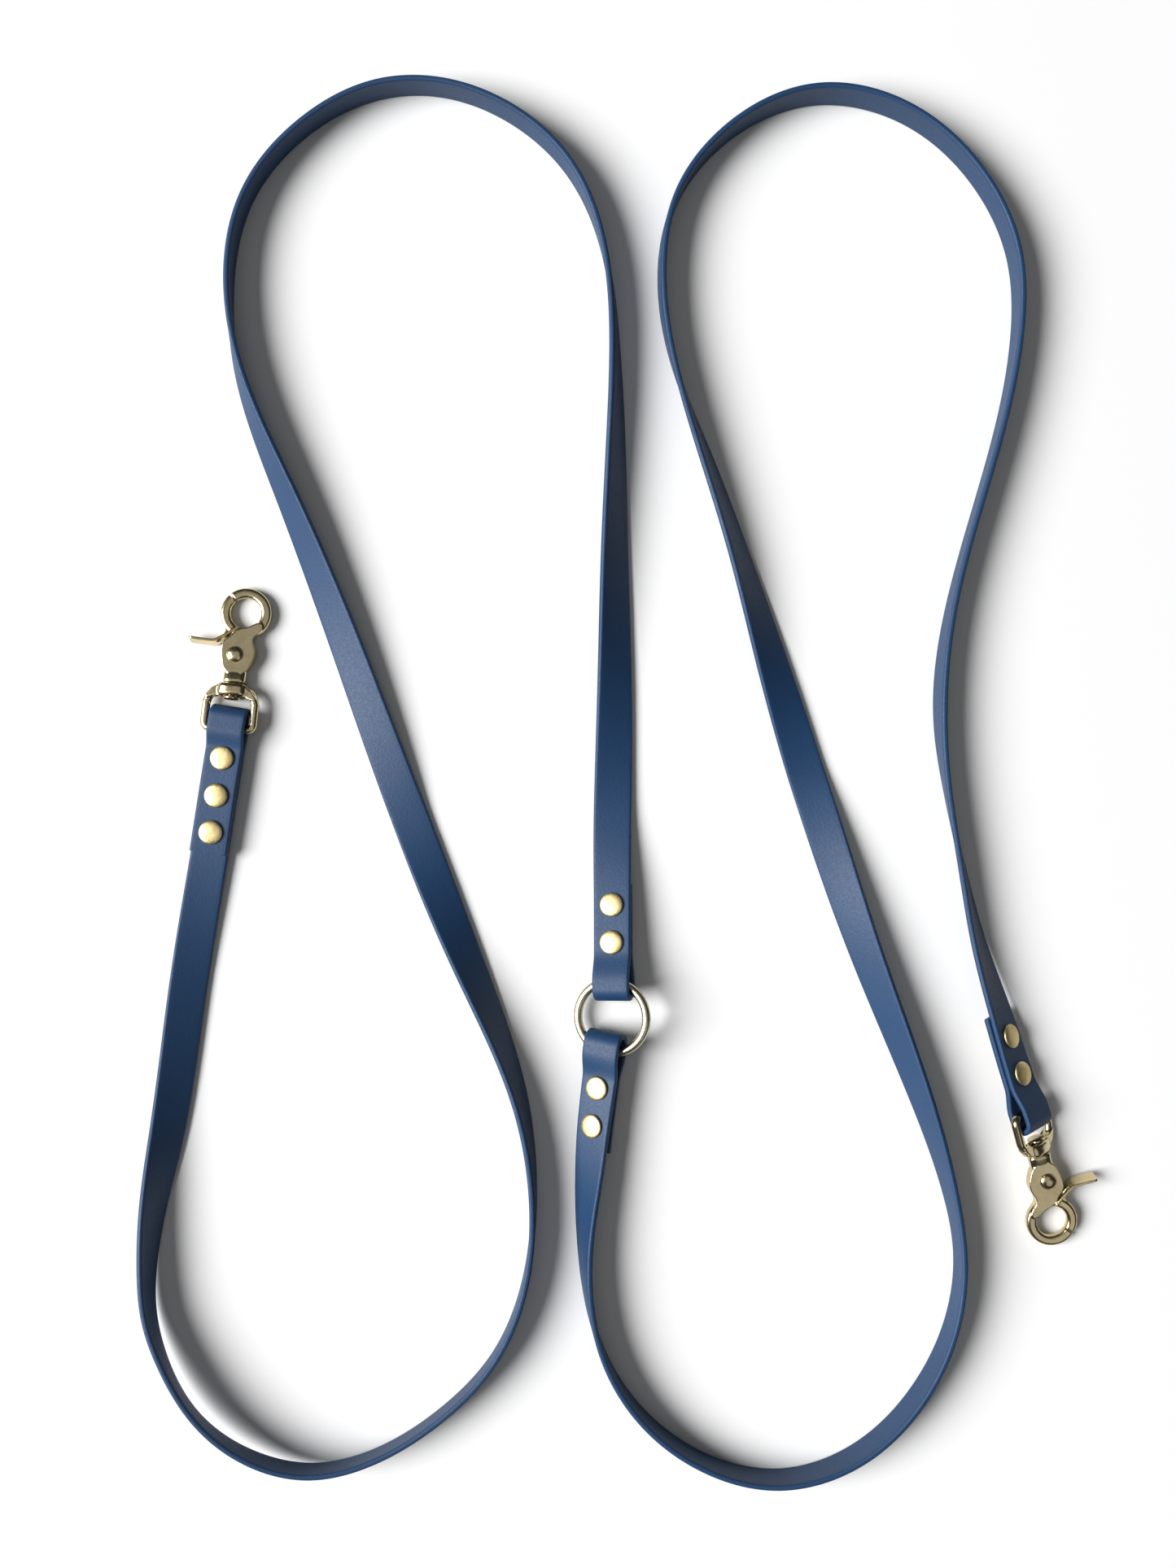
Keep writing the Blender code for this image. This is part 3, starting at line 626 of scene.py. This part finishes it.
def bar_frame(route, end, from_start):
    """Frame of the bar that the strap folds round: X out of the strap, Z out of its face."""
    s = end["bar"] if from_start else route.length - end["bar"]
    point, along, _, normal = route.frame(s)
    middle = point + normal * sum(ply_offsets(end, end["bar"])) / 2
    outward = -along if from_start else along
    return frame_from(middle, outward, normal if normal.z > 0 else -normal)


# ---- materials ------------------------------------------------------------------------------
class Paint:
    """Small helper for building node materials."""

    def __init__(self, name):
        self.mat = bpy.data.materials.new(name)
        self.mat.use_nodes = True
        self.tree = self.mat.node_tree
        self.shader = self.tree.nodes["Principled BSDF"]
        self.coords = self.node("ShaderNodeTexCoord").outputs["Object"]

    def node(self, kind, **values):
        made = self.tree.nodes.new(kind)
        for key, value in values.items():
            if key in made.inputs:
                made.inputs[key].default_value = value
            else:
                setattr(made, key, value)
        return made

    def link(self, source, target):
        self.tree.links.new(source, target)

    def set(self, **values):
        for key, value in values.items():
            self.shader.inputs[key.replace("_", " ")].default_value = value

    def noise(self, scale, detail, rough=0.5):
        made = self.node("ShaderNodeTexNoise", Scale=scale, Detail=detail, Roughness=rough)
        self.link(self.coords, made.inputs["Vector"])
        return made.outputs["Fac"]

    def remap(self, source, low, high, to_low, to_high):
        made = self.node("ShaderNodeMapRange")
        made.inputs["From Min"].default_value = low
        made.inputs["From Max"].default_value = high
        made.inputs["To Min"].default_value = to_low
        made.inputs["To Max"].default_value = to_high
        self.link(source, made.inputs["Value"])
        return made.outputs["Result"]

    def mix(self, factor, colour_a, colour_b):
        made = self.node("ShaderNodeMix", data_type="RGBA")
        self.link(factor, made.inputs["Factor"])
        for socket, value in (("A", colour_a), ("B", colour_b)):
            target = [i for i in made.inputs if i.name == socket and i.type == "RGBA"][0]
            if isinstance(value, tuple):
                target.default_value = (*value, 1.0)
            else:
                self.link(value, target)
        return [o for o in made.outputs if o.type == "RGBA"][0]

    def bump(self, height, distance, strength, below=None):
        made = self.node("ShaderNodeBump", Strength=strength, Distance=distance)
        self.link(height, made.inputs["Height"])
        if below:
            self.link(below, made.inputs["Normal"])
        return made.outputs["Normal"]


def strap_paint():
    """Navy coating with faint patches, fine specks and a grained surface."""
    paint = Paint("strap_coating")
    patches = paint.remap(paint.noise(38.0, 3.0), 0.3, 0.7, 0.0, 1.0)
    fine = paint.noise(2600.0, 2.0)
    grain = paint.noise(900.0, 3.0, 0.6)
    base = paint.mix(patches, (0.0040, 0.0315, 0.090), (0.0052, 0.0350, 0.099))
    speck = paint.remap(fine, 0.35, 0.75, 0.0, 0.5)
    colour = paint.mix(speck, base, (0.0090, 0.0400, 0.108))
    paint.link(colour, paint.shader.inputs["Base Color"])
    paint.link(paint.remap(grain, 0.3, 0.7, 0.50, 0.60), paint.shader.inputs["Roughness"])
    lower = paint.bump(grain, 0.00012, 0.8)
    paint.link(paint.bump(fine, 0.00005, 0.8, lower), paint.shader.inputs["Normal"])
    paint.set(IOR=1.5, Specular_IOR_Level=0.42)
    return paint.mat


def metal_paint(name, colour, worn, rough, dents=0.0):
    """Plated metal: tarnish in large patches, fine grain, optional hammered dents."""
    paint = Paint(name)
    cloud = paint.remap(paint.noise(160.0, 4.0, 0.6), 0.35, 0.7, 0.0, 1.0)
    paint.link(paint.mix(cloud, colour, worn), paint.shader.inputs["Base Color"])
    fine = paint.noise(1400.0, 3.0, 0.6)
    paint.link(paint.remap(fine, 0.3, 0.75, rough * 0.8, rough * 1.35),
               paint.shader.inputs["Roughness"])
    normal = paint.bump(fine, 0.00002, 0.4)
    if dents:
        normal = paint.bump(paint.noise(620.0, 1.0), dents, 0.8, normal)
    paint.link(normal, paint.shader.inputs["Normal"])
    paint.set(Metallic=1.0)
    return paint.mat


# ---- rivets -----------------------------------------------------------------------------------
def cap_profile():
    """Low dome from its crown on the axis down to the rolled edge of its underside."""
    dome_r = CAP_R * CAP_ROLL[0][0]
    points = [(0.0, CAP_FACE + CAP_H)]
    for k in range(1, CAP_STEPS):
        a = math.pi / 2 * k / CAP_STEPS
        points.append((dome_r * math.sin(a),
                       CAP_FACE + CAP_LIP + (CAP_H - CAP_LIP) * math.cos(a) ** DOME_POWER))
    return points + [(CAP_R * share, CAP_FACE + height) for share, height in CAP_ROLL]


def rivet_cap_mesh():
    """Cap with its post, which ends short of the base and is bevelled at its tip."""
    tip = -CAP_FACE + POST_SHORT
    profile = cap_profile()
    profile += [(RIVET_POST_R, CAP_FACE), (RIVET_POST_R, tip + POST_BEVEL),
                (RIVET_POST_R - POST_BEVEL, tip), (0, tip)]
    return lathe(profile, TURNED_SIDES)


def rivet_base_mesh():
    """Base with the hollow socket that the post is pressed into."""
    mouth, floor = -CAP_FACE + GAP, CAP_FACE + SOCKET_SINK
    profile = cap_profile()
    profile += [(SOCKET_OUT_R, CAP_FACE), (SOCKET_OUT_R, mouth),
                (SOCKET_IN_R, mouth), (SOCKET_IN_R, floor), (0, floor)]
    return lathe([(r, -z) for r, z in profile], TURNED_SIDES)


def make_rivets(label, frames, body, paint):
    """A cap and a base at each frame."""
    made = []
    for i, place in enumerate(frames, 1):
        for kind, mesh in (("cap", rivet_cap_mesh()), ("base", rivet_base_mesh())):
            obj = link_mesh(f"rivet_{kind}_{label}_{i}_seen", mesh, place)
            made.append(dress(obj, body, [f"rivet_{kind}_{label}_{i}"], paint))
    return made


# ---- ring ---------------------------------------------------------------------------------------
def ring_frame(route_a):
    """The ring hangs from strap A's fold, with its +X side tilted up."""
    bar = bar_frame(route_a, END_A_RING, False).translation
    swing = math.radians(RING_SWING)
    centre = bar + RING_R * Vector((math.sin(swing), -math.cos(swing), 0))
    tilt = math.radians(RING_TILT)
    return frame_from(centre, (math.cos(tilt), 0, math.sin(tilt)), (0, 0, 1))


def make_ring(place, paint):
    path = [(x, y, 0) for x, y in circle((0, 0), RING_R, RING_STEPS)]
    obj = link_mesh("ring_wire", tube(path, RING_WIRE_R, RING_SIDES, closed=True), place)
    return dress(obj, "joining_ring", ["o_ring"], paint)


# ---- trigger snap ---------------------------------------------------------------------------------
def eye_path():
    """Wire of the swivel eye: shoulder, leg, corner, cross bar, and the same back."""
    shoulder = rounded([(16.8, 4.6), (16.0, 7.6), (13.8, 9.4), (10.8, EYE_HALF_W)],
                       closed=False)
    corner = circle((EYE_CORNER_R, EYE_HALF_W - EYE_CORNER_R), EYE_CORNER_R, count=12,
                    start=90, stop=180, endpoint=True)
    half = [(p.x, p.y) for p in shoulder] + corner + [(0.0, 4.0), (0.0, 1.3)]
    return [(x, y, 0) for x, y in half] + [(x, -y, 0) for x, y in reversed(half)]


def make_swivel_eye(label, place, paint):
    """Casting: the wire that the strap folds round, its shoulders and the bored boss."""
    wire = [(x, y) for x, y, _ in eye_path()]
    shoulders = [(19.1, 5.6), (16.6, 8.6), (13.6, 11.2), (12.0, 10.6), (12.4, 8.9), (14.2, 6.6),
                 (14.2, -6.6), (12.4, -8.9), (12.0, -10.6), (13.6, -11.2), (16.6, -8.6),
                 (19.1, -5.6)]
    boss = ((14.15, 5.5, 3.1, 0), (14.5, 6.1, 3.6, 0), (15.3, 6.4, 3.9, 0), (18.0, 6.3, 3.9, 0),
            (19.0, 5.9, 3.6, 0), (BOSS_X1, 5.3, 3.1, 0))
    solids = [flat_bar(wire, EYE_WIRE_HALF_W, BAR_R, power=2.3),
              prism(shoulders, SHOULDER_HALF_T, bevel=0.8), barrel(boss, power=2.7)]
    cuts = [cylinder_x(BOSS_X0 - CUT_PAST, BOSS_X1 + CUT_PAST, POST_HOLE_R, HOLE_SIDES)]
    obj = cast(f"swivel_eye_{label}_seen", solids, cuts, place, CAST_VOXEL)
    return dress(obj, f"swivel_{label}", [f"swivel_eye_{label}"], paint)


def hook_plate_outline():
    """Upper and lower plates with the neck's lip, the mouth's rim and the rounded back."""
    return [(24.9, 4.4), (28.2, 5.4), (31.0, 5.95), (33.8, 6.15), (35.7, 6.0), (37.2, 5.2),
            (40.0, 2.5), (42.5, -0.1), (43.1, -1.6), (43.8, -4.2), (45.4, -7.0), (46.3, -9.4),
            (44.8, -10.7), (42.6, -9.9), (40.6, -7.7), (38.7, -6.6), (36.9, -7.1), (34.9, -7.9),
            (32.2, -8.2), (29.6, -7.6), (27.2, -6.5), (24.9, -5.2), (23.8, -3.0), (23.3, 0.0),
            (23.8, 2.6)]


def post_mesh():
    """Swivel post about the snap's long axis, from its peened button into the neck."""
    profile = [(0, 12.1), (BUTTON_R * 0.5, 12.15), (BUTTON_R * 0.8, 12.35),
               (BUTTON_R * 0.96, 12.8), (BUTTON_R, 13.2), (BUTTON_R, 13.6),
               (POST_R, 13.6), (POST_R, POST_X1), (0, POST_X1)]
    bm = lathe(profile, TURNED_SIDES)
    bmesh.ops.transform(bm, matrix=Matrix.Rotation(math.radians(90), 4, "Y"), verts=bm.verts)
    return bm


def make_hook(label, place, paint):
    """Casting: slotted plates, the fixed jaw, the neck and the swivel post."""
    arc = circle(HOOK_EYE, HOOK_EYE_R, count=80, start=JAW_START_DEG, stop=GATE_GAP_DEG[0],
                 endpoint=True)
    neck = ((BOSS_X1 + GAP, 4.2, 2.8, -0.5), (20.1, 4.7, 3.1, -0.5), (20.9, 4.8, 3.2, -0.6),
            (22.6, 4.75, 2.9, -0.6), (26.2, 4.7, 2.2, -0.6))
    plates = flat_outline(hook_plate_outline(), steps=3)
    solids = [prism(plates, HOOK_HALF_T, bevel=0.7, segments=5),
              flat_bar(arc, JAW_HALF_W, JAW_HALF_T, power=3.3), barrel(neck, power=3.0),
              post_mesh()]
    slot = [(27.0, 12.0), (27.0, -4.0), (36.0, -4.0), (39.5, 0.1), (43.4, 0.1), (46.0, 12.0)]
    cuts = [prism(slot, SLOT_HALF_T), prism(circle(PIVOT, PIVOT_HOLE_R, HOLE_SIDES), HOLE_HALF_T)]
    obj = cast(f"hook_body_{label}_seen", solids, cuts, place, CAST_VOXEL)
    return dress(obj, f"hook_{label}", [f"hook_body_{label}"], paint)


def trigger_mesh(shift):
    """Thumb blade: a strip on edge, bent out to the side, leaning more toward its tip."""
    spine = rounded([(42.9, 0.7), (41.0, 3.0), (39.0, 5.5), (37.3, 7.8), (36.4, 9.2),
                     (36.15, 10.6), (36.2, 14.0), (36.35, 17.5), (36.5, 20.4)],
                    steps=5, closed=False)
    last = len(spine) - 1
    rings = []
    for i, point in enumerate(spine):
        along = (spine[min(i + 1, last)] - spine[max(i - 1, 0)]).normalized()
        across = Vector((-along.y, along.x)) * TRIGGER_HALF_T
        part = i / last
        depth = TRIGGER_HALF_D * {last - 1: TRIGGER_TIP[0], last: TRIGGER_TIP[1]}.get(i, 1.0)
        lean = TRIGGER_LEAN * smooth(part * 2)
        x, y = shift([(point.x, point.y)])[0]
        rings.append([(x + side * across.x + lean * h * depth, y + side * across.y, h * depth)
                      for side, h in ((1, 1), (-1, 1), (-1, -1), (1, -1))])
    return loft(rings)


def make_gate(label, place, paint):
    """Casting: the moving jaw, the thumb blade, and the arm and hub that turn on the pivot."""
    here = place @ Matrix.Translation((*PIVOT, 0))

    def shift(points):
        return [(x - PIVOT[0], y - PIVOT[1]) for x, y in points]

    def lowered(bm):
        bmesh.ops.translate(bm, vec=(0, 0, HUB_Z), verts=bm.verts)
        return bm

    arc = shift(circle(HOOK_EYE, HOOK_EYE_R, count=40, start=GATE_GAP_DEG[1],
                       stop=GATE_STOP_DEG, endpoint=True))
    root = [(43.5, 0.2), (44.6, 2.6), (46.6, 5.2), (46.4, 7.2), (44.4, 6.4), (42.6, 5.5),
            (40.8, 5.3), (39.3, 6.1), (37.4, 8.5), (36.1, 9.6), (36.0, 8.0), (36.9, 6.7),
            (38.2, 5.1), (41.0, 2.3), (42.8, 0.4)]
    arm = [(36.4, -2.4), (40.6, 1.0), (43.6, 1.4), (44.4, 4.0), (41.2, 4.6), (38.4, 5.2),
           (36.0, 3.6), (35.4, 0.6)]
    solids = [flat_bar(arc, JAW_HALF_W, JAW_HALF_T, power=3.3),
              trigger_mesh(shift),
              prism(shift(root), ROOT_HALF_T, bevel=0.5),
              prism(shift(arm), LEVER_HALF_T),
              lowered(prism(circle((0, 0), HUB_R, count=36), HUB_HALF_T)),
              lowered(prism([(1.5, -2.6), (5.4, -1.6), (5.4, 1.2), (1.5, 2.6)], HUB_HALF_T))]
    cuts = [prism(circle((0, 0), PIVOT_HOLE_R, HOLE_SIDES), HOLE_HALF_T)]
    obj = cast(f"gate_{label}_seen", solids, cuts, here, GATE_VOXEL, relax=2)
    return dress(obj, f"gate_body_{label}", [f"gate_{label}"], paint)


def make_pivot(label, place, paint):
    """The rivet that the gate turns on, with a domed head over the upper plate."""
    top = HOOK_HALF_T + GAP
    rim = top + PIVOT_HEAD_LIP
    profile = [(0, rim + PIVOT_HEAD_RISE)]
    for k in range(1, PIVOT_HEAD_STEPS):
        a = math.pi / 2 * k / PIVOT_HEAD_STEPS
        profile.append((PIVOT_HEAD_R * math.sin(a), rim + PIVOT_HEAD_RISE * math.cos(a)))
    profile += [(PIVOT_HEAD_R, rim), (PIVOT_HEAD_R, top), (PIVOT_R, top),
                (PIVOT_R, -HOOK_HALF_T), (0, -HOOK_HALF_T)]
    here = place @ Matrix.Translation((*PIVOT, 0))
    obj = link_mesh(f"pivot_rivet_{label}_seen", lathe(profile, TURNED_SIDES), here)
    return dress(obj, f"hook_{label}", [f"pivot_rivet_{label}"], paint)


def spring_path():
    """Coil round the pivot with a straight leg leaving it tangentially at each end."""
    path = [(*SPRING_LEVER_LEG, SPRING_Z[0])]
    for k in range(SPRING_STEPS + 1):
        part = k / SPRING_STEPS
        a = math.radians(SPRING_ARC_DEG[0] + (SPRING_ARC_DEG[1] - SPRING_ARC_DEG[0]) * part)
        path.append((SPRING_R * math.cos(a), SPRING_R * math.sin(a),
                     SPRING_Z[0] + (SPRING_Z[1] - SPRING_Z[0]) * part))
    path.append((*SPRING_HOOK_LEG, SPRING_Z[1]))
    return path


def make_spring(label, place, paint):
    """Torsion spring: its coil winds between the leg on the gate and the leg on the hook."""
    here = place @ Matrix.Translation((*PIVOT, 0))
    wire = tube(spring_path(), SPRING_WIRE_R, SPRING_SIDES)
    obj = link_mesh(f"gate_spring_{label}_seen", wire, here)
    dress(obj, None, [f"gate_spring_{label}"], paint)
    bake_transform(obj)
    return obj


def snap_frames(bar, lie):
    """Frames of the swivel eye, which follows its strap's roll, and of the level hook."""
    heading, slope, back = (math.radians(angle) for angle in lie)
    axis = Vector((math.sin(heading), math.cos(heading), 0)) * math.cos(slope)
    axis.z = -math.sin(slope)
    eye = frame_from(bar.translation, axis, bar.col[2].to_3d())
    return (eye @ Matrix.Rotation(back, 4, "X"), frame_from(bar.translation, axis, (0, 0, 1)))


def make_snap(label, bar, lie, paints):
    """The five pieces of the snap whose eye has its bar in a strap's fold."""
    eye_place, hook_place = snap_frames(bar, lie)
    return [make_swivel_eye(label, eye_place, paints["snap"]),
            make_hook(label, hook_place, paints["snap"]),
            make_gate(label, hook_place, paints["gate"]),
            make_pivot(label, hook_place, paints["snap"]),
            make_spring(label, hook_place, paints["spring"])]


# ---- straps ------------------------------------------------------------------------------------
def make_strap(label, route, ends, paint):
    """One strap half, folded back at both ends and drilled for its rivets."""
    obj = strap_object(f"strap_{label}_seen", strap_stations(route, *ends))
    drill(obj, rivet_frames(route, ends[0], True) + rivet_frames(route, ends[1], False))
    return dress(obj, f"leash_half_{label}", [f"strap_{label}"], paint)


def declare_cord(route, exit_s):
    """Points along the strap's route every CORD_STEP mm, and its point at exit_s, where it leaves
    the ring; nothing is done with them.
    """
    count = round(route.length / CORD_STEP)
    path = [list(route.at(route.length * k / count)[0] * MM) for k in range(count + 1)]
    tuple(route.at(exit_s)[0] * MM)


# ---- surroundings --------------------------------------------------------------------------------
def make_floor():
    bm = bmesh.new()
    bmesh.ops.create_grid(bm, x_segments=1, y_segments=1, size=FLOOR_HALF)
    mesh = bpy.data.meshes.new("floor")
    bm.to_mesh(mesh)
    bm.free()
    floor = bpy.data.objects.new("floor", mesh)
    bpy.context.scene.collection.objects.link(floor)
    paint = Paint("floor_paper")
    paint.set(Roughness=0.9, Specular_IOR_Level=0.0)
    paint.shader.inputs["Base Color"].default_value = (*FLOOR_COLOUR, 1.0)
    mesh.materials.append(paint.mat)


def area_light(name, at, size, radiance):
    """A disk turned toward the leash; its power follows from its radiance and its size."""
    data = bpy.data.lights.new(name, "AREA")
    data.shape = "DISK"
    data.size = size
    data.energy = radiance * math.pi * math.pi * size * size / 4
    light = bpy.data.objects.new(name, data)
    light.location = at
    light.rotation_mode = "QUATERNION"
    light.rotation_quaternion = Vector(at).to_track_quat("Z", "Y")
    light.visible_camera = False
    bpy.context.scene.collection.objects.link(light)


def make_lights():
    """A world that is dim as light and pale to look at, and the area lights."""
    scene = bpy.context.scene
    scene.view_settings.view_transform = "Standard"
    world = bpy.data.worlds.new("studio")
    world.use_nodes = True
    tree = world.node_tree
    seen = tree.nodes.new("ShaderNodeLightPath").outputs["Is Camera Ray"]
    level = tree.nodes.new("ShaderNodeMapRange")
    level.inputs["To Min"].default_value = WORLD_LIGHT
    level.inputs["To Max"].default_value = WORLD_SEEN
    tree.links.new(seen, level.inputs["Value"])
    sky = tree.nodes["Background"]
    sky.inputs["Color"].default_value = (*SKY_COLOUR, 1.0)
    tree.links.new(level.outputs["Result"], sky.inputs["Strength"])
    scene.world = world
    for name, (at, size, radiance) in LIGHTS.items():
        area_light(name, at, size, radiance)


def main():
    make_camera()
    route_a, route_b = Route(ROUTE_A), Route(ROUTE_B)
    coating = strap_paint()
    paints = {
        "rivet": metal_paint("rivet_plate", (0.70, 0.58, 0.30), (0.50, 0.38, 0.17), rough=0.44,
                             dents=0.00004),
        "ring": metal_paint("ring_plate", (0.62, 0.56, 0.42), (0.54, 0.48, 0.34), rough=0.30),
        "snap": metal_paint("snap_plate", (0.64, 0.55, 0.34), (0.55, 0.45, 0.26), rough=0.20),
        "gate": metal_paint("gate_plate", (0.68, 0.57, 0.33), (0.58, 0.47, 0.26), rough=0.18),
        "spring": metal_paint("spring_wire", (0.55, 0.56, 0.58), (0.42, 0.42, 0.43), rough=0.28),
    }
    strap_a = make_strap("a", route_a, (END_A_SNAP, END_A_RING), coating)
    strap_b = make_strap("b", route_b, (END_B_RING, END_B_SNAP), coating)
    rivets_a = make_rivets("a_snap", rivet_frames(route_a, END_A_SNAP, True),
                           "leash_half_a", paints["rivet"])
    rivets_a += make_rivets("a_ring", rivet_frames(route_a, END_A_RING, False),
                            "leash_half_a", paints["rivet"])
    rivets_b = make_rivets("b_ring", rivet_frames(route_b, END_B_RING, True),
                           "leash_half_b", paints["rivet"])
    rivets_b += make_rivets("b_snap", rivet_frames(route_b, END_B_SNAP, False),
                            "leash_half_b", paints["rivet"])
    make_ring(ring_frame(route_a), paints["ring"])
    snap_a = make_snap("a", bar_frame(route_a, END_A_SNAP, True), LIE_A, paints)
    snap_b = make_snap("b", bar_frame(route_b, END_B_SNAP, False), LIE_B, paints)
    declare_cord(route_a, route_a.length)
    declare_cord(route_b, 0.0)
    make_floor()
    make_lights()


main()
